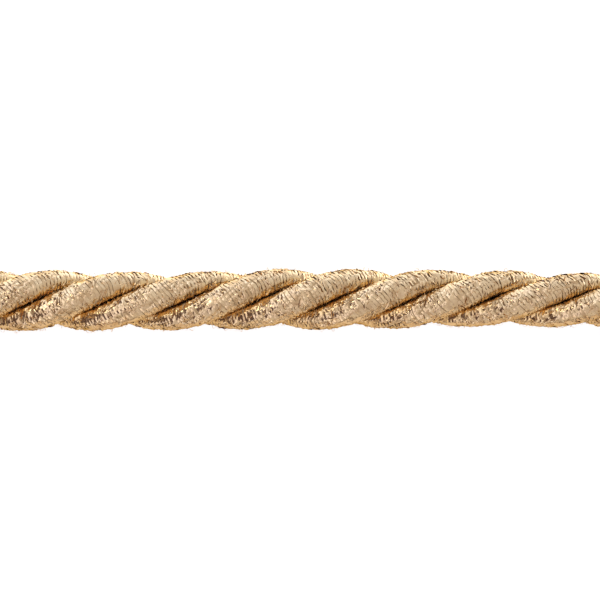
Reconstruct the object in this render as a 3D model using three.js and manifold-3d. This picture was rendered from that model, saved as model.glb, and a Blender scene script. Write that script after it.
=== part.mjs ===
// Straight cut length of twisted metallic cord, lying on a flat surface.
// Three wound strands are laid together in a left-hand (S) twist with no core between them.
// Millimetres, +Z up. The cord runs along X, centred on the origin, and rests on z = 0.
import * as THREE from "three";
import { mergeVertices } from "three/addons/utils/BufferGeometryUtils.js";
import Module from "manifold-3d";

// Driving dimensions of the cord.
const CUT_LENGTH = 100;
const CORD_DIAMETER = 8;
const STRAND_COUNT = 3;

// A strand's section is an oval, wider round the cord than outwards, before its neighbours
// press its flanks flat.
const STRAND_HEIGHT = 3.8;
const STRAND_WIDTH = 4.4;
const GAP_BETWEEN_FLANKS = 0.36;

// The strands' soft undersides are pressed flat by this much where they touch the surface.
const RESTING_FLAT_DEPTH = 0.12;

// Facets round half a strand's section, and the length of one facet along the cord.
const HALF_SECTION_FACETS = 9;
const FACET_LENGTH = 1.05;

// Where a groove faces straight up, the strand before it lies at this angle round the cord,
// measured from +Y towards +Z.
const ANGLE_BEFORE_TOP_GROOVE = THREE.MathUtils.degToRad(150);

// The lay as it was twisted, a row for each third of a turn:
// at     where a groove faces straight up, in millimetres from the middle
// swell  the cord's thickness there as a share of CORD_DIAMETER
// drift  how far the cord's axis lies towards +Y there
const LAY = [
  { at: -55.2, swell: 1.0, drift: 0.0 },
  { at: -45.1, swell: 1.01, drift: -0.01 },
  { at: -34.8, swell: 1.02, drift: -0.06 },
  { at: -25.4, swell: 0.98, drift: -0.15 },
  { at: -15.1, swell: 0.96, drift: -0.16 },
  { at: -5.1, swell: 1.0, drift: 0.14 },
  { at: 4.8, swell: 1.01, drift: 0.09 },
  { at: 15.0, swell: 0.975, drift: 0.14 },
  { at: 25.4, swell: 0.935, drift: 0.25 },
  { at: 35.5, swell: 0.91, drift: 0.0 },
  { at: 45.6, swell: 0.91, drift: -0.16 },
  { at: 55.9, swell: 0.91, drift: -0.18 },
];

// Sizes worked out from the driving dimensions.
const CORD_RADIUS = CORD_DIAMETER / 2;
const STRAND_CENTRE_RADIUS = CORD_RADIUS - STRAND_HEIGHT / 2;
const THIRD_OF_TURN = (2 * Math.PI) / STRAND_COUNT;

const METALLIC_THREAD = { color: 0xc9a877, roughness: 0.38, metalness: 0.85 };

// Row number at x as a fraction, so that a third of a turn is one row.
function layRow(x) {
  const next = LAY.findIndex((row) => row.at >= x);
  const before = LAY[next - 1];
  return next - 1 + (x - before.at) / (LAY[next].at - before.at);
}

// A column of the table at x, read between its rows.
function layValue(x, column) {
  const row = layRow(x);
  const before = Math.floor(row);
  return THREE.MathUtils.lerp(LAY[before][column], LAY[before + 1][column], row - before);
}

// Moves a point of the section back to the flat that a neighbour presses, which stands at
// half a third of a turn from the strand's own direction and half the gap off its neighbour.
function pressFlank(point) {
  const side = Math.sign(point.y) || 1;
  const across = new THREE.Vector2(Math.sin(THIRD_OF_TURN / 2), -side * Math.cos(THIRD_OF_TURN / 2));
  const short = GAP_BETWEEN_FLANKS / 2 - point.dot(across);
  return short > 0 ? point.clone().addScaledVector(across, short) : point;
}

// Section of a strand square to the cord, with the cord's axis at its origin and +X outwards.
function strandSection() {
  const oval = new THREE.Shape();
  oval.absellipse(STRAND_CENTRE_RADIUS, 0, STRAND_HEIGHT / 2, STRAND_WIDTH / 2, 0, 2 * Math.PI);
  const outline = oval.getPoints(HALF_SECTION_FACETS).slice(0, -1);
  return new THREE.Shape(outline.map(pressFlank));
}

// The section drawn out along the cord's length, still untwisted.
function straightStrand() {
  return new THREE.ExtrudeGeometry(strandSection(), {
    depth: CUT_LENGTH,
    steps: Math.round(CUT_LENGTH / FACET_LENGTH),
    bevelEnabled: false,
  });
}

// Lays a strand into the cord: each point turns round the cord's axis with the lay, moves out
// and aside with the table, and is lifted until the undersides dip the flats' depth under z = 0.
function layIn(geometry, strand) {
  const points = geometry.attributes.position;
  for (let i = 0; i < points.count; i += 1) {
    const x = points.getZ(i) - CUT_LENGTH / 2;
    const swell = layValue(x, "swell");
    const angle = ANGLE_BEFORE_TOP_GROOVE + (strand - layRow(x)) * THIRD_OF_TURN;
    const outwards = points.getX(i) * swell;
    const around = points.getY(i) * swell;
    const y = outwards * Math.cos(angle) - around * Math.sin(angle) + layValue(x, "drift");
    const z = outwards * Math.sin(angle) + around * Math.cos(angle);
    points.setXYZ(i, x, y, z + CORD_RADIUS * swell - RESTING_FLAT_DEPTH);
  }
  return geometry;
}

// The space under the surface, which takes away what dips below z = 0.
function spaceUnderSurface() {
  const side = CORD_DIAMETER * 3;
  return new THREE.BoxGeometry(CUT_LENGTH * 2, side, side).translate(0, 0, -side / 2);
}

function solidFrom(geometry, wasm) {
  const bare = geometry.clone();
  bare.deleteAttribute("normal");
  bare.deleteAttribute("uv");
  const merged = mergeVertices(bare);
  const vertProperties = new Float32Array(merged.attributes.position.array);
  const triVerts = new Uint32Array(merged.index.array);
  return new wasm.Manifold(new wasm.Mesh({ numProp: 3, vertProperties, triVerts }));
}

function geometryFrom(solid) {
  const mesh = solid.getMesh();
  const geometry = new THREE.BufferGeometry();
  geometry.setAttribute("position", new THREE.BufferAttribute(mesh.vertProperties, 3));
  geometry.setIndex(new THREE.BufferAttribute(mesh.triVerts, 1));
  geometry.computeVertexNormals();
  return geometry;
}

const wasm = await Module();
wasm.setup();

const cord = new THREE.Group();
const under = solidFrom(spaceUnderSurface(), wasm);
for (let strand = 0; strand < STRAND_COUNT; strand += 1) {
  const laid = solidFrom(layIn(straightStrand(), strand), wasm);
  const material = new THREE.MeshStandardMaterial(METALLIC_THREAD);
  const mesh = new THREE.Mesh(geometryFrom(laid.subtract(under)), material);
  mesh.name = `strand_${strand + 1}`;
  cord.add(mesh);
}

export default cord;
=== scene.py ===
import math

import bpy
import numpy as np
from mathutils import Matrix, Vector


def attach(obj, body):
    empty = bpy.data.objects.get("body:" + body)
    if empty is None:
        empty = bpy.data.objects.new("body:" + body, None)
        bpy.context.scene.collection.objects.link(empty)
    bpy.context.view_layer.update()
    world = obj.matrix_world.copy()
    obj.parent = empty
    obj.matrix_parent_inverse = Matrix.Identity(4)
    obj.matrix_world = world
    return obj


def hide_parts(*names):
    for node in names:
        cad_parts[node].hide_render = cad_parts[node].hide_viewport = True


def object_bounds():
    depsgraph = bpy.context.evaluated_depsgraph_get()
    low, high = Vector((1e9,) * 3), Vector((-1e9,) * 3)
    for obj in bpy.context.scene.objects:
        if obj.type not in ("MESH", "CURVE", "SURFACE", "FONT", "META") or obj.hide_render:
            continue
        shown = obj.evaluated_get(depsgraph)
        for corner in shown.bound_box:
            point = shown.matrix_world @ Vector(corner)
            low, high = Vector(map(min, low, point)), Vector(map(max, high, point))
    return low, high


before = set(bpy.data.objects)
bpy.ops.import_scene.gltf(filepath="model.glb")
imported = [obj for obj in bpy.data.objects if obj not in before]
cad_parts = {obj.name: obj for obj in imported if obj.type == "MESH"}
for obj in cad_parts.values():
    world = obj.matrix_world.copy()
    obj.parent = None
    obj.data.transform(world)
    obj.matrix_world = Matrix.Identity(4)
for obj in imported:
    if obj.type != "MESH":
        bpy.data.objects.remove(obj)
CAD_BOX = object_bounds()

bl_info = {
    "name": "Twisted Metallic Cord",
    "version": (1, 0, 0),
    "blender": (4, 5, 0),
    "location": "View3D > Sidebar > Metallic Cord",
    "description": "A cut length of gold cord: wound strands laid together in a left-hand twist",
    "category": "Add Mesh",
}

BODY = "root"
NODES = ("strand_1", "strand_2", "strand_3")
STRANDS = len(NODES)
THIRD_OF_TURN = 2 * math.pi / STRANDS

# The lay as it was twisted, a row for each third of a turn, in metres: where a groove faces
# straight up, the cord's thickness there as a share of its diameter, and how far its axis lies
# towards +Y.
LAY = np.array(
    [
        (-0.0552, 1.000, 0.00000),
        (-0.0451, 1.010, -0.00001),
        (-0.0348, 1.020, -0.00006),
        (-0.0254, 0.980, -0.00015),
        (-0.0151, 0.960, -0.00016),
        (-0.0051, 1.000, 0.00014),
        (0.0048, 1.010, 0.00009),
        (0.0150, 0.975, 0.00014),
        (0.0254, 0.935, 0.00025),
        (0.0355, 0.910, 0.00000),
        (0.0456, 0.910, -0.00016),
        (0.0559, 0.910, -0.00018),
    ],
    dtype=[("at", float), ("swell", float), ("drift", float)],
)

# Where a groove faces straight up, the strand before it lies at this angle round the cord,
# measured from +Y towards +Z.
ANGLE_BEFORE_TOP_GROOVE = math.radians(150)

# Places round a strand are shares of the whole way: its crest, and how far its open part goes to
# either side before the neighbours hide it.
CREST = 0.5
OPEN_SHARE = 0.34

# The table is read as a mean over this far to each side, so that the lay changes gently.
LAY_SOFTENING = 0.003
LAY_SAMPLES = 7

# A strand's outline is worked out at this many points and its slopes over this small step. Its
# corners and the cord's resting flats are rounded over these lengths.
OUTLINE_SAMPLES = 720
SMALL_STEP = 0.00002
FLANK_ROUNDING = 0.00012
FLAT_ROUNDING = 0.00004

# No point of the scene's own pieces lies lower than this over the floor.
LOWEST = 0.000005

# A point counts as tucked in a groove from this far under the cord's outside, wholly so this much
# deeper, and rises to that with this power. How far it is tucked sets the painted groove shade in
# the thread's colour and livens its roll.
TUCK_DEPTH = 0.0010
TUCK_SPAN = 0.0014
TUCK_POWER = 1.3

# The core under the thread: how far its skin and its ends are drawn in, and its mesh.
CORE_SINK = 0.00010
CORE_SHORTER = 0.0006
CORE_RINGS = 421
CORE_SIDES = 40

# The threads' starts are spread over this share of a turn. Close to a cut end, over the fade, a
# turn stands square to the cord instead of the strand. The thread's line lies sunk in the skin.
STARTS_SPREAD = 0.96
END_FADE = 0.004
THREAD_SINK = 0.00004

# How unevenly the thread is wound. A shared row is a field that neighbouring turns follow alike:
# its size, the length of its waves and how many waves are summed. An own row is each turn's own:
# its size and the mesh steps over which it stays alike.
STRAY_SHARED = (0.00005, 0.004, 9)
STRAY_OWN = (0.00003, 14)
RISE_OWN = (0.000015, 4)
RISE_SHARED = (0.00003, 0.003, 9)
RISE_FINE = (0.000022, 0.0011, 12)
WIDTH_OWN = (0.10, 8)
TONE_MIDDLE = 0.25
TONE_OWN = (0.42, 5)

# The roll's liveliness, over the strand and added in the grooves, and the parts that sum to it.
LIVELY_MIDDLE = 0.9
LIVELY_SHARED = (0.5, 0.005, 9)
LIVELY_RANGE = (0.25, 2.0)
LIVELY_IN_GROOVES = 0.4
ROLL_SHARP = (0.2, 2)
ROLL_SHARED = (1.0, 0.0010, 14)
ROLL_OWN = (0.7, 6)
MOST_ROLL = 0.4

# A sum of waves has waves between these shares of its own length. A moving mean's bell ends at
# this many of its widths.
WAVE_SHARES = (0.7, 1.6)
BELL_END = 2.5

# Short lengths that arch over the winding: their mesh, how far they bend aside as a share of their
# length, how deep their ends dip, their width at the ends, their height as a share of the width,
# the spread of their roll, and their tone.
ARCH_RINGS = 12
ARCH_BEND = 0.08
ARCH_DIP = 0.00003
ARCH_END_WIDTH = 0.6
ARCH_HEIGHT = 0.12
ARCH_ROLL = 0.22
ARCH_ROLL_STEPS = 2
ARCH_TONE_MIDDLE = 0.35
ARCH_TONE_OWN = (0.3, 3)

# What makes the loose lengths and the fuzz: how many to a strand, least and greatest length, width
# and rise in metres, and the spread of their heading in radians.
LOOSE_THREAD = {
    "count": 420,
    "long": (0.0007, 0.0022),
    "wide": (0.00016, 0.00036),
    "peak": (0.00004, 0.00013),
    "stray": 0.40,
}
FUZZ = {
    "count": 420,
    "long": (0.0006, 0.0017),
    "wide": (0.00003, 0.00007),
    "peak": (0.0001, 0.0005),
    "stray": 1.1,
}

# Yarn tips at a strand's cut end: how many, their mesh and radius, how far out the last one lies
# as a share of the section, and how much shorter or thicker than the rest one may be.
TIPS = 190
TIP_SIDES = 7
TIP_RADIUS = 0.000135
TIPS_REACH = 0.93
TIP_SHORTER = 0.0003
TIP_THICKNESS = (0.85, 1.2)

# A tip's rings from its root: how far back from its end each lies, and its share of the radius.
# The golden angle is told as a share of a turn.
TIP_BACK = np.array([0.0012, 0.0003, 0.00004, 0.0])
TIP_SLIM = np.array([1.0, 1.0, 0.75, 0.35])
GOLDEN_TURN = 0.381966

# The yarn's fibres in the core's colour and bump.
FIBRES_PER_METRE = 3000.0
FIBRE_STRENGTH = 0.5
FIBRE_HEIGHT = 0.00005

# The sky's colour by the angle from straight up towards +Y, in degrees.
SKY = (
    (-90, (0.26, 0.19, 0.17)),
    (-78, (0.26, 0.19, 0.17)),
    (-72, (0.92, 0.88, 0.93)),
    (-60, (0.86, 0.82, 0.87)),
    (-54, (0.70, 0.65, 0.73)),
    (-30, (0.70, 0.65, 0.75)),
    (15, (0.84, 0.82, 0.92)),
    (50, (0.84, 0.85, 1.02)),
    (80, (0.92, 0.97, 1.22)),
)

# What the sky's colour is multiplied by, by how far it lies towards +X, from -1 to 1.
SKY_ALONG = (
    (-1.00, (0.74, 0.68, 0.66)),
    (-0.92, (0.74, 0.68, 0.66)),
    (-0.87, (0.12, 0.060, 0.060)),
    (-0.41, (0.12, 0.060, 0.060)),
    (-0.35, (1.95, 2.00, 2.22)),
    (-0.14, (1.95, 2.00, 2.22)),
    (-0.06, (1.00, 1.00, 1.02)),
    (0.60, (1.00, 1.00, 1.00)),
    (1.00, (0.95, 0.93, 0.90)),
)

# The floor's own glow by how far it lies towards +Y, in metres: painted light that the camera
# doesn't see straight on. It lights the far edge of the cord more than the near one; its dim warm
# stretch on the near side is a painted shadow of the cord, which the near edge reflects warm.
FLOOR_GLOW = (
    (-0.050, (0.68, 0.56, 0.47)),
    (-0.014, (0.68, 0.56, 0.47)),
    (-0.008, (0.85, 0.77, 0.67)),
    (-0.002, (0.85, 0.77, 0.67)),
    (0.004, (2.40, 2.70, 3.90)),
    (0.008, (2.40, 2.70, 3.90)),
    (0.014, (1.25, 1.38, 1.85)),
    (0.050, (1.05, 1.15, 1.45)),
)

# Floor and sky as the camera sees them straight on: both plain and pale.
FLOOR_SEEN = (0.85, 0.85, 0.85)
SKY_SEEN = (1.2, 1.2, 1.2)

# What the floor scatters, apart from its glow.
FLOOR_COLOUR = (0.35, 0.35, 0.35)
FLOOR_ROUGHNESS = 0.9

# Where the soft key stands, in metres, and its colour.
KEY_PLACE = (-0.24, 0.20, 0.28)
KEY_COLOUR = (0.97, 0.98, 1.0)

# The camera sees nothing nearer than this.
NEAREST_SEEN = 0.01


def length_property(name, default, description):
    return bpy.props.FloatProperty(
        name=name, description=description, default=default, unit="LENGTH", precision=5, min=0.0
    )


def share_property(name, default, description):
    return bpy.props.FloatProperty(
        name=name, description=description, default=default, subtype="FACTOR", min=0.0, max=1.0
    )


def colour_property(name, default, description):
    return bpy.props.FloatVectorProperty(
        name=name, description=description, default=default, subtype="COLOR", size=3, min=0, max=1
    )


class CordSizes(bpy.types.PropertyGroup):
    """Sizes of the laid cord and of a strand's section."""

    cut_length: length_property("Cut length", CAD_BOX[1][0] - CAD_BOX[0][0], "Length of the cord")
    diameter: length_property("Diameter", 0.008, "Diameter over the strands")
    strand_height: length_property("Strand height", 0.0038, "A strand's section, outwards")
    strand_width: length_property("Strand width", 0.0044, "A strand's section, round the cord")
    flat_depth: length_property("Flat depth", 0.00012, "How far undersides are pressed flat")
    flank_gap: length_property("Flank gap", 0.00015, "Space left between two pressed flanks")


class ThreadSizes(bpy.types.PropertyGroup):
    """Sizes of the metallised thread that is wound round each strand."""

    starts: bpy.props.IntProperty(
        name="Starts", description="Threads wound side by side", default=3, min=1
    )
    lead: length_property("Lead", 0.0012, "How far one turn of a thread goes along the strand")
    width: length_property("Width", 0.00052, "Width of the flat thread")
    thickness: length_property("Thickness", 0.000024, "The thread's middle over its edges")
    steps_per_turn: bpy.props.IntProperty(
        name="Steps per turn", description="Mesh steps in one turn of a thread", default=116, min=8
    )
    shingle: bpy.props.FloatProperty(
        name="Shingle",
        description="How far each flat thread leans on its neighbour",
        default=0.11,
        subtype="ANGLE",
    )
    roll: bpy.props.FloatProperty(
        name="Roll",
        description="How far the flat thread rolls to and fro",
        default=0.125,
        subtype="ANGLE",
    )
    seed: bpy.props.IntProperty(name="Seed", description="Start of the random draws", default=7)


class Finish(bpy.types.PropertyGroup):
    """Colours and gloss of the thread and the core."""

    gold: colour_property("Gold", (0.875, 0.650, 0.345), "Metallised thread, seen face on")
    # Painted shade: the amber of the thread in the grooves stands for the shade and warm bounce
    # light there.
    painted_groove_shade: colour_property("Amber", (0.89, 0.60, 0.24), "Thread that lies tucked in a groove")
    deep: colour_property("Deep gold", (0.68, 0.46, 0.22), "Threads that came out darker")
    rim: colour_property("Rim", (0.33, 0.19, 0.06), "Tint of the thread where it turns edge on")
    core: colour_property("Core", (0.76, 0.53, 0.25), "Yarn under the thread")
    roughness: share_property("Roughness", 0.17, "How dull the thread's gloss is")
    metallic: share_property("Metallic", 0.9, "How much of the thread's surface is bare metal film")
    core_roughness: share_property("Core roughness", 0.85, "How dull the yarn is")
    core_shade: share_property("Core shade", 0.6, "The yarn's darkest as a share of its colour")


class StudioSizes(bpy.types.PropertyGroup):
    """The pale floor, the lights and the camera."""

    view_width: length_property("View width", 0.080, "Width of the picture at the cord")
    lens: bpy.props.FloatProperty(
        name="Lens", description="Focal length in millimetres", default=100.0
    )
    floor_size: length_property("Floor", 6.0, "Side of the pale floor")
    dome: bpy.props.FloatProperty(name="Dome", description="Strength of the sky", default=0.88)
    key: bpy.props.FloatProperty(name="Key", description="Power of the key in watts", default=0.16)
    key_size: length_property("Key size", 0.12, "Side of the soft key")


def softened(x, column):
    """Mean of the table's straight-line values over an even window round x."""
    offsets = np.linspace(-LAY_SOFTENING, LAY_SOFTENING, LAY_SAMPLES)
    values = np.arange(len(LAY)) if column == "row" else LAY[column]
    return np.mean([np.interp(x + step, LAY["at"], values) for step in offsets], axis=0)


class Skin:
    """Outer surface of a strand.

    A point is named by how far along the cord it lies, how far round the strand as a share of
    the whole way, and how high over the skin.
    """

    def __init__(self, sizes, strand):
        self.sizes = sizes
        self.strand = strand
        self.radius = sizes.diameter / 2
        self.centre = self.radius - sizes.strand_height / 2
        self.shares, self.points, self.normals, self.girth = self.outline()
        lay_length = STRANDS * np.mean(np.diff(LAY["at"]))
        self.slope = self.centre * 2 * math.pi / lay_length

    def outline(self):
        """Oval (centre + a cos t, b sin t), pushed in from the flanks' planes at half a third of
        a turn by a soft maximum. Gives each point's share of the way round, the points, their
        outward normals and the whole way's length."""
        sizes = self.sizes
        t = np.linspace(-math.pi, math.pi, OUTLINE_SAMPLES + 1)
        out = self.centre + sizes.strand_height / 2 * np.cos(t)
        across = sizes.strand_width / 2 * np.sin(t)
        side = np.where(across < 0, -1.0, 1.0)
        flank = THIRD_OF_TURN / 2
        inside = math.sin(flank) * out - math.cos(flank) * np.abs(across)
        over = inside - sizes.flank_gap / 2
        push = 0.5 * (np.sqrt(over**2 + FLANK_ROUNDING**2) - over)
        out = out + math.sin(flank) * push
        across = across - side * math.cos(flank) * push
        reached = np.concatenate([[0.0], np.cumsum(np.hypot(np.diff(out), np.diff(across)))])
        points = np.stack([out, across], axis=1)
        tangent = np.gradient(points, axis=0)
        normals = np.stack([tangent[:, 1], -tangent[:, 0]], axis=1)
        normals /= np.linalg.norm(normals, axis=1, keepdims=True)
        return reached / reached[-1], points, normals, reached[-1]

    def at_share(self, around, values):
        return np.interp(np.mod(around, 1.0), self.shares, values)

    def out(self, around):
        """How far a point of the outline lies from the cord's axis, along the strand's own
        direction."""
        return self.at_share(around, self.points[:, 0])

    def across(self, around):
        """How far a point of the outline lies to the side of the strand's middle."""
        return self.at_share(around, self.points[:, 1])

    def tuck(self, around):
        """0 on the open crest, 1 on the flanks that neighbours hide: the mask of the painted groove
        shade, which also livens the roll.
        """
        deep = (self.radius - TUCK_DEPTH - self.out(around)) / TUCK_SPAN
        return np.clip(deep, 0.0, 1.0) ** TUCK_POWER

    def place(self, along, around, lift):
        """Outline point raised by lift and laid into the cord."""
        out = self.out(around) + lift * self.at_share(around, self.normals[:, 0])
        across = self.across(around) + lift * self.at_share(around, self.normals[:, 1])
        return self.lay(along, out, across)

    def inside(self, along, around, share):
        """Point at a share of the way from the section's middle to its outline, laid in."""
        out = self.centre + share * (self.out(around) - self.centre)
        return self.lay(along, out, share * self.across(around))

    def lay(self, along, out, across):
        """Point of the section scaled by the swell, turned to the lay's angle, moved with the
        drift, and kept off the floor by a soft maximum."""
        sizes = self.sizes
        swell = softened(along, "swell")
        angle = ANGLE_BEFORE_TOP_GROOVE + (self.strand - softened(along, "row")) * THIRD_OF_TURN
        y = swell * (out * np.cos(angle) - across * np.sin(angle)) + softened(along, "drift")
        z = swell * (out * np.sin(angle) + across * np.cos(angle))
        z = z + self.radius * swell - sizes.flat_depth
        z = 0.5 * (z + np.sqrt(z**2 + FLAT_ROUNDING**2))
        return np.stack([np.broadcast_to(along, y.shape), y, z], axis=-1)

    def frame_at(self, along, around, lift):
        """Point and outward unit normal of the skin, from small steps along and round it."""
        point = self.place(along, around, lift)
        ahead = self.place(along + SMALL_STEP, around, lift) - point
        beside = self.place(along, around + SMALL_STEP / self.girth, lift) - point
        normal = np.cross(beside, ahead)
        normal /= np.linalg.norm(normal, axis=-1, keepdims=True)
        return point, normal


def smooth_noise(rng, shape, reach):
    """Random rows of about unit size whose values stay alike over reach steps: white noise under
    a bell-shaped moving mean."""
    steps = max(3, int(2 * BELL_END * reach) | 1)
    bell = np.exp(-0.5 * np.linspace(-BELL_END, BELL_END, steps) ** 2)
    bell /= np.sqrt(np.sum(bell**2))
    white = rng.standard_normal((shape[0], shape[1] + len(bell) - 1))
    return np.stack([np.convolve(row, bell, mode="valid") for row in white])


def ripples(rng, skin, along, around, length, count):
    """Smooth random field of about unit size over the skin: a sum of sine waves about length long,
    each a whole number of times round."""
    total = 0.0
    for _ in range(count):
        heading = rng.uniform(0, math.pi)
        wave = length * rng.uniform(*WAVE_SHARES)
        rounds = round(skin.girth * math.cos(heading) / wave)
        phase = rng.uniform(0, 2 * math.pi)
        turns = along * math.sin(heading) / wave + rounds * around
        total = total + np.sin(2 * math.pi * turns + phase)
    return total * math.sqrt(2 / count)


class Unevenness:
    """Random fields over a winding, drawn one after another from one generator."""

    def __init__(self, rng, skin, along, around):
        self.rng = rng
        self.skin = skin
        self.along = along
        self.around = around

    def shared(self, size, length, waves):
        return size * ripples(self.rng, self.skin, self.along, self.around, length, waves)

    def own(self, size, steps):
        return size * smooth_noise(self.rng, self.around.shape, steps)


def ribbon_rings(point, normal, width, thickness, roll):
    """Flat section carried along lines of points: an edge half a width to either side and a ridge
    over the middle, all turned about the line by roll."""
    run = np.gradient(point, axis=-2)
    run /= np.linalg.norm(run, axis=-1, keepdims=True)
    beside = np.cross(run, normal)
    beside /= np.linalg.norm(beside, axis=-1, keepdims=True)
    up = np.cross(beside, run)
    cos, sin = np.cos(roll)[..., None], np.sin(roll)[..., None]
    wide = (cos * beside + sin * up) * np.asarray(width)[..., None] / 2
    high = (cos * up - sin * beside) * thickness
    return np.stack([point - wide, point + high, point + wide], axis=-2)


def grid_tubes(count, rings, sides):
    """Faces of tubes whose points are counted by tube, ring and side, with both ends closed."""
    tube = np.arange(count)[:, None, None] * rings * sides
    ring = np.arange(rings - 1)[None, :, None] * sides
    side = np.arange(sides)[None, None, :]
    follow = (side + 1) % sides
    corners = [side, follow, follow + sides, side + sides]
    walls = np.stack(
        [np.broadcast_to(tube + ring + c, (count, rings - 1, sides)) for c in corners], axis=-1
    )
    first = tube[:, 0] + np.arange(sides)[None, ::-1]
    last = tube[:, 0] + (rings - 1) * sides + np.arange(sides)[None, :]
    return walls.reshape(-1, 4).tolist() + first.tolist() + last.tolist()


def add_ribbons(name, rings, material, tone, tuck):
    """Puts ribbons, counted by ribbon, ring and corner, into a piece with a tone and a tuck for
    each ring, none of it under the floor. The tuck masks the painted groove shade."""
    rings[..., 2] = np.maximum(rings[..., 2], LOWEST)
    count, length, corners = rings.shape[:3]
    each = np.ones((1, 1, corners))
    values = {"tone": tone[..., None] * each, "tuck": tuck[..., None] * each}
    add_piece(name, rings, grid_tubes(count, length, corners), material, values)


def add_piece(name, points, faces, material, attributes=None, smooth=False):
    """Puts points and faces into a new object at the origin, with its attributes and material."""
    mesh = bpy.data.meshes.new(name)
    mesh.from_pydata(points.reshape(-1, 3).tolist(), [], faces)
    mesh.polygons.foreach_set("use_smooth", np.full(len(mesh.polygons), smooth))
    for label, values in (attributes or {}).items():
        layer = mesh.attributes.new(label, "FLOAT", "POINT")
        layer.data.foreach_set("value", np.ascontiguousarray(values, dtype=np.float32).ravel())
    mesh.materials.append(material)
    mesh.update()
    piece = bpy.data.objects.new(name, mesh)
    bpy.context.scene.collection.objects.link(piece)
    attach(piece, BODY)


class Nodes:
    """Short way to add and join the nodes of one material or world."""

    def __init__(self, owner, shader):
        owner.use_nodes = True
        self.owner = owner
        self.tree = owner.node_tree
        self.shader = self.tree.nodes[shader]

    @classmethod
    def material(cls, name):
        return cls(bpy.data.materials.new(name), "Principled BSDF")

    def add(self, kind, inputs=None, **settings):
        node = self.tree.nodes.new(kind)
        for key, value in settings.items():
            setattr(node, key, value)
        for key, value in (inputs or {}).items():
            self.feed(node.inputs[key], value)
        return node

    def feed(self, socket, value):
        if isinstance(value, bpy.types.NodeSocket):
            self.tree.links.new(value, socket)
        else:
            socket.default_value = value

    def attribute(self, name):
        return self.add("ShaderNodeAttribute", attribute_name=name).outputs["Fac"]

    def noise(self, scale):
        place = self.add("ShaderNodeTexCoord").outputs["Object"]
        return self.add("ShaderNodeTexNoise", {"Vector": place, "Scale": scale}).outputs["Fac"]

    def ramp(self, value, stops):
        """Colour read from a table of rising values and their colours."""
        least, most = stops[0][0], stops[-1][0]
        span = {"Value": value, "From Min": least, "From Max": most}
        share = self.add("ShaderNodeMapRange", span)
        ramp = self.add("ShaderNodeValToRGB", {"Fac": share.outputs["Result"]})
        elements = ramp.color_ramp.elements
        elements.remove(elements[1])
        elements[0].color = opaque(stops[0][1])
        for place, colour in stops[1:]:
            elements.new((place - least) / (most - least)).color = opaque(colour)
        return ramp.outputs["Color"]

    def blend(self, factor, first, second, how="MIX"):
        """Two colours mixed. The node's sockets 6 and 7 and its result 2 are the colours'."""
        node = self.add("ShaderNodeMix", data_type="RGBA", blend_type=how)
        self.feed(node.inputs[0], factor)
        self.feed(node.inputs[6], first)
        self.feed(node.inputs[7], second)
        return node.outputs[2]


def opaque(colour):
    return (*colour, 1.0)


def thread_material(finish):
    """Pale gold film: painted shade deepens it to amber where it is tucked in a groove, and each
    thread is a little unlike the next.
    """
    build = Nodes.material("metallised_thread")
    # Painted shade: amber where the thread is tucked in a groove, for the shade and warm bounce
    # light there.
    groove_shaded = build.blend(build.attribute("tuck"), opaque(finish.gold), opaque(finish.painted_groove_shade))
    lively = build.blend(build.attribute("tone"), groove_shaded, opaque(finish.deep))
    build.feed(build.shader.inputs["Base Color"], lively)
    build.feed(build.shader.inputs["Metallic"], finish.metallic)
    build.feed(build.shader.inputs["Specular Tint"], opaque(finish.rim))
    build.feed(build.shader.inputs["Roughness"], finish.roughness)
    return build.owner


def core_material(finish):
    """Matt spun yarn under the thread."""
    build = Nodes.material("core_yarn")
    fibre = build.noise(FIBRES_PER_METRE)
    dark = tuple(finish.core_shade * value for value in finish.core)
    mottled = build.blend(fibre, opaque(finish.core), opaque(dark))
    build.feed(build.shader.inputs["Base Color"], mottled)
    build.feed(build.shader.inputs["Roughness"], finish.core_roughness)
    build.feed(build.shader.inputs["Specular IOR Level"], 0.0)
    relief = {"Height": fibre, "Strength": FIBRE_STRENGTH, "Distance": FIBRE_HEIGHT}
    bump = build.add("ShaderNodeBump", relief)
    build.feed(build.shader.inputs["Normal"], bump.outputs["Normal"])
    return build.owner


class CORD_OT_lay_cores(bpy.types.Operator):
    """The soft bodies of the strands, laid into the cord's twist"""

    bl_idname = "cord.lay_cores"
    bl_label = "Lay the cores"

    def execute(self, context):
        sizes = context.scene.cord_sizes
        half = sizes.cut_length / 2 - CORE_SHORTER
        along = np.linspace(-half, half, CORE_RINGS)[:, None]
        around = np.arange(CORE_SIDES)[None, ::-1] / CORE_SIDES + 0 * along
        skins = [Skin(sizes, strand) for strand in range(STRANDS)]
        tubes = np.stack([skin.place(along, around, -CORE_SINK) for skin in skins])
        faces = grid_tubes(STRANDS, CORE_RINGS, CORE_SIDES)
        add_piece("cord", tubes, faces, core_material(context.scene.cord_finish), smooth=True)
        return {"FINISHED"}


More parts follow.
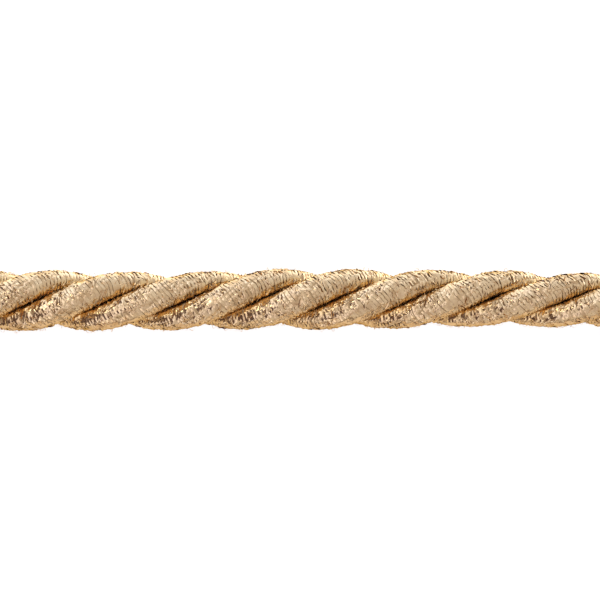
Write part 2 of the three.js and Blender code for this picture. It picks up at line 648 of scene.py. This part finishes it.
class CORD_OT_wind_thread(bpy.types.Operator):
    """The flat metallised thread wound closely round each strand"""

    bl_idname = "cord.wind_thread"
    bl_label = "Wind the thread"

    def execute(self, context):
        scene = context.scene
        material = thread_material(scene.cord_finish)
        rng = np.random.default_rng(scene.cord_thread.seed)
        for strand in range(STRANDS):
            self.wind(scene, strand, material, rng)
        return {"FINISHED"}

    def wind(self, scene, strand, material, rng):
        """A thread goes evenly along and round, sheared so that a turn lies square to the strand.
        It strays with a smooth field that its neighbours share, and rolls and rises by itself."""
        sizes, thread = scene.cord_sizes, scene.cord_thread
        skin = Skin(sizes, strand)
        reach = sizes.cut_length / 2 - thread.width / 2
        turns = 2 * reach / thread.lead
        steps = int(turns * thread.steps_per_turn)
        share = np.linspace(0.0, 1.0, steps)[None, :]
        start = np.arange(thread.starts)[:, None] * (STARTS_SPREAD / thread.starts)
        around = start + turns * share
        level = reach * (2 * share - 1) + 0 * around
        fade = np.clip((reach - np.abs(level)) / END_FADE, 0.0, 1.0)
        uneven = Unevenness(rng, skin, level, around)
        stray = uneven.shared(*STRAY_SHARED) + uneven.own(*STRAY_OWN)
        along = level + fade * (skin.slope * skin.across(around) + stray)
        lift = uneven.own(*RISE_OWN) + uneven.shared(*RISE_SHARED)
        lift += uneven.shared(*RISE_FINE)
        # The tuck masks the painted groove shade in the colour and livens the roll in the grooves.
        tuck = skin.tuck(around)
        lively = np.clip(LIVELY_MIDDLE + uneven.shared(*LIVELY_SHARED), *LIVELY_RANGE)
        lively = lively + LIVELY_IN_GROOVES * tuck
        rolling = uneven.own(*ROLL_SHARP) + uneven.shared(*ROLL_SHARED)
        rolling += uneven.own(*ROLL_OWN)
        roll = thread.shingle + np.clip(thread.roll * lively * rolling, -MOST_ROLL, MOST_ROLL)
        width = thread.width * (1 + uneven.own(*WIDTH_OWN))
        point, normal = skin.frame_at(along, around, lift - THREAD_SINK)
        rings = ribbon_rings(point, normal, width, thread.thickness, roll)
        rings[..., 0] = np.clip(rings[..., 0], -sizes.cut_length / 2, sizes.cut_length / 2)
        tone = np.clip(TONE_MIDDLE + uneven.own(*TONE_OWN), 0, 1)
        add_ribbons(f"wrap_{strand + 1}", rings, material, tone, tuck)


def add_arches(name, scene, seed, count, long, wide, peak, stray):
    """Short lengths of film over the winding, count to a strand, in one piece. Each goes along its
    heading, bends aside and rises by 1 - 4 s squared, where s runs from -1/2 to 1/2, and dips its
    ends under the winding."""
    sizes = scene.cord_sizes
    rng = np.random.default_rng(seed)
    run = np.linspace(-0.5, 0.5, ARCH_RINGS)[None, :]
    arch = 1 - 4 * run**2
    reach = sizes.cut_length / 2 - long[1]
    tubes, tones, tucks = [], [], []
    for strand in range(STRANDS):
        skin = Skin(sizes, strand)
        length = rng.uniform(*long, (count, 1))
        heading = rng.normal(0.0, stray, (count, 1))
        middle = rng.uniform(-reach, reach, (count, 1))
        around = CREST + rng.uniform(-OPEN_SHARE, OPEN_SHARE, (count, 1))
        around = around + length * run * np.cos(heading) / skin.girth
        bend = rng.normal(0.0, ARCH_BEND, (count, 1)) * arch
        level = middle + length * (run * np.sin(heading) + bend)
        along = level + skin.slope * skin.across(around)
        lift = rng.uniform(*peak, (count, 1)) * arch - ARCH_DIP
        narrowing = ARCH_END_WIDTH + (1 - ARCH_END_WIDTH) * arch
        width = rng.uniform(*wide, (count, 1)) * narrowing
        uneven = Unevenness(rng, skin, along, around)
        roll = rng.normal(0.0, ARCH_ROLL, (count, 1)) + uneven.own(ARCH_ROLL, ARCH_ROLL_STEPS)
        point, normal = skin.frame_at(along, around, lift)
        tubes.append(ribbon_rings(point, normal, width, ARCH_HEIGHT * width[..., None], roll))
        tones.append(np.clip(ARCH_TONE_MIDDLE + uneven.own(*ARCH_TONE_OWN), 0, 1))
        # The tuck masks the painted groove shade.
        tucks.append(skin.tuck(around))
    material = thread_material(scene.cord_finish)
    rings, tone, tuck = (np.concatenate(parts) for parts in (tubes, tones, tucks))
    add_ribbons(name, rings, material, tone, tuck)


class CORD_OT_loosen_thread(bpy.types.Operator):
    """Short lengths of the flat thread that have worked loose and arch over the winding"""

    bl_idname = "cord.loosen_thread"
    bl_label = "Loosen some thread"

    def execute(self, context):
        seed = context.scene.cord_thread.seed + 1
        add_arches("loose_thread", context.scene, seed, **LOOSE_THREAD)
        return {"FINISHED"}


class CORD_OT_raise_fuzz(bpy.types.Operator):
    """Fine threads of film that stand off the strands as a faint fuzz"""

    bl_idname = "cord.raise_fuzz"
    bl_label = "Raise the fuzz"

    def execute(self, context):
        seed = context.scene.cord_thread.seed + 2
        add_arches("fuzz", context.scene, seed, **FUZZ)
        return {"FINISHED"}


class CORD_OT_cut_ends(bpy.types.Operator):
    """The tips of the core yarns, where the cord is cut square across"""

    bl_idname = "cord.cut_ends"
    bl_label = "Cut the ends"

    def execute(self, context):
        """Each tip is a short tube. Tips lie on a sunflower spiral in the section: the share out
        from the middle grows as a square root and each is turned by the golden angle."""
        scene = context.scene
        sizes = scene.cord_sizes
        rng = np.random.default_rng(scene.cord_thread.seed + 3)
        order = np.arange(TIPS)
        share = TIPS_REACH * np.sqrt((order + 0.5) / TIPS)[:, None]
        around = np.mod(order * GOLDEN_TURN, 1.0)[:, None]
        turn = 2 * math.pi * np.arange(TIP_SIDES) / TIP_SIDES
        tubes = []
        for strand in range(STRANDS):
            skin = Skin(sizes, strand)
            for end in (-1, 1):
                short = rng.uniform(0.0, TIP_SHORTER, (TIPS, 1))
                along = end * (sizes.cut_length / 2 - short - TIP_BACK)
                middle = skin.inside(along, around, share)[:, :, None, :]
                thick = TIP_RADIUS * rng.uniform(*TIP_THICKNESS, (TIPS, 1, 1))
                radius = thick * TIP_SLIM[:, None]
                ring = middle + np.zeros((1, 1, TIP_SIDES, 1))
                ring[..., 1] += radius * np.cos(turn)
                ring[..., 2] += radius * np.sin(turn) * end
                tubes.append(ring)
        tubes = np.concatenate(tubes)
        tubes[..., 2] = np.maximum(tubes[..., 2], LOWEST)
        faces = grid_tubes(len(tubes), len(TIP_BACK), TIP_SIDES)
        add_piece("cut_ends", tubes, faces, core_material(scene.cord_finish), smooth=True)
        return {"FINISHED"}


class CORD_OT_declare(bpy.types.Operator):
    """Hides the plain strands, in whose place the wound cord stands"""

    bl_idname = "cord.declare"
    bl_label = "Declare the cord"

    def execute(self, context):
        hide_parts(*NODES)
        return {"FINISHED"}


class CORD_OT_stage(bpy.types.Operator):
    """Pale floor, soft lights and the camera straight above the cord"""

    bl_idname = "cord.stage"
    bl_label = "Set the stage"

    def execute(self, context):
        scene = context.scene
        studio = scene.cord_studio
        self.floor(scene, studio)
        self.dome(scene, studio)
        self.key_light(scene, studio)
        self.camera(scene, studio)
        scene.view_settings.view_transform = "Standard"
        return {"FINISHED"}

    def floor(self, scene, studio):
        """A flat square that glows by its own table, and that the camera sees plain and pale."""
        build = Nodes.material("pale_floor")
        build.feed(build.shader.inputs["Base Color"], opaque(FLOOR_COLOUR))
        build.feed(build.shader.inputs["Roughness"], FLOOR_ROUGHNESS)
        place = build.add("ShaderNodeTexCoord").outputs["Object"]
        split = build.add("ShaderNodeSeparateXYZ", {"Vector": place})
        glow = build.ramp(split.outputs["Y"], FLOOR_GLOW)
        seen = build.add("ShaderNodeLightPath").outputs["Is Camera Ray"]
        shown = build.blend(seen, glow, opaque(FLOOR_SEEN))
        build.feed(build.shader.inputs["Emission Color"], shown)
        build.feed(build.shader.inputs["Emission Strength"], 1.0)
        mesh = bpy.data.meshes.new("floor")
        side = studio.floor_size / 2
        corners = [(-side, -side, 0), (side, -side, 0), (side, side, 0), (-side, side, 0)]
        mesh.from_pydata(corners, [], [(0, 1, 2, 3)])
        mesh.materials.append(build.owner)
        floor = bpy.data.objects.new("floor", mesh)
        scene.collection.objects.link(floor)

    def dome(self, scene, studio):
        """Light from all round: the sky's colour by the angle from straight up towards +Y, times
        the other table's value by how far it lies towards +X. Seen straight on it is plain pale."""
        build = Nodes(bpy.data.worlds.new("dome"), "Background")
        place = build.add("ShaderNodeTexCoord").outputs["Generated"]
        split = build.add("ShaderNodeSeparateXYZ", {"Vector": place}).outputs
        angle = build.add("ShaderNodeMath", {0: split["Y"], 1: split["Z"]}, operation="ARCTAN2")
        upwards = [(math.radians(degrees), colour) for degrees, colour in SKY]
        upright = build.ramp(angle.outputs[0], upwards)
        both = build.blend(1.0, upright, build.ramp(split["X"], SKY_ALONG), how="MULTIPLY")
        seen = build.add("ShaderNodeLightPath").outputs["Is Camera Ray"]
        build.feed(build.shader.inputs["Color"], build.blend(seen, both, opaque(SKY_SEEN)))
        build.feed(build.shader.inputs["Strength"], studio.dome)
        scene.world = build.owner

    def key_light(self, scene, studio):
        """A softbox that faces the cord's middle."""
        lamp = bpy.data.lights.new("key", "AREA")
        lamp.size = studio.key_size
        lamp.energy = studio.key
        lamp.color = KEY_COLOUR
        light = bpy.data.objects.new("key", lamp)
        light.location = KEY_PLACE
        light.rotation_euler = light.location.to_track_quat("Z", "Y").to_euler()
        scene.collection.objects.link(light)

    def camera(self, scene, studio):
        """Straight above the cord, as high as the view's width asks of the lens."""
        data = bpy.data.cameras.new("camera")
        data.lens = studio.lens
        data.clip_start = NEAREST_SEEN
        camera = bpy.data.objects.new("camera", data)
        height = studio.view_width * studio.lens / data.sensor_width
        camera.location = (0.0, 0.0, height + scene.cord_sizes.diameter / 2)
        scene.collection.objects.link(camera)
        scene.camera = camera


class CORD_PT_panel(bpy.types.Panel):
    """Lists the steps that make the cord"""

    bl_label = "Metallic Cord"
    bl_idname = "CORD_PT_panel"
    bl_space_type = "VIEW_3D"
    bl_region_type = "UI"
    bl_category = "Metallic Cord"

    def draw(self, context):
        for operator in OPERATORS:
            self.layout.operator(operator.bl_idname)


GROUPS = {
    "cord_sizes": CordSizes,
    "cord_thread": ThreadSizes,
    "cord_finish": Finish,
    "cord_studio": StudioSizes,
}
OPERATORS = (
    CORD_OT_stage,
    CORD_OT_lay_cores,
    CORD_OT_wind_thread,
    CORD_OT_loosen_thread,
    CORD_OT_raise_fuzz,
    CORD_OT_cut_ends,
    CORD_OT_declare,
)


def register():
    for group in GROUPS.values():
        bpy.utils.register_class(group)
    for name, group in GROUPS.items():
        setattr(bpy.types.Scene, name, bpy.props.PointerProperty(type=group))
    for item in (*OPERATORS, CORD_PT_panel):
        bpy.utils.register_class(item)


def unregister():
    for item in (CORD_PT_panel, *reversed(OPERATORS)):
        bpy.utils.unregister_class(item)
    for name, group in GROUPS.items():
        delattr(bpy.types.Scene, name)
        bpy.utils.unregister_class(group)


def main():
    register()
    for operator in OPERATORS:
        group, name = operator.bl_idname.split(".")
        getattr(getattr(bpy.ops, group), name)()


if __name__ == "__main__":
    main()
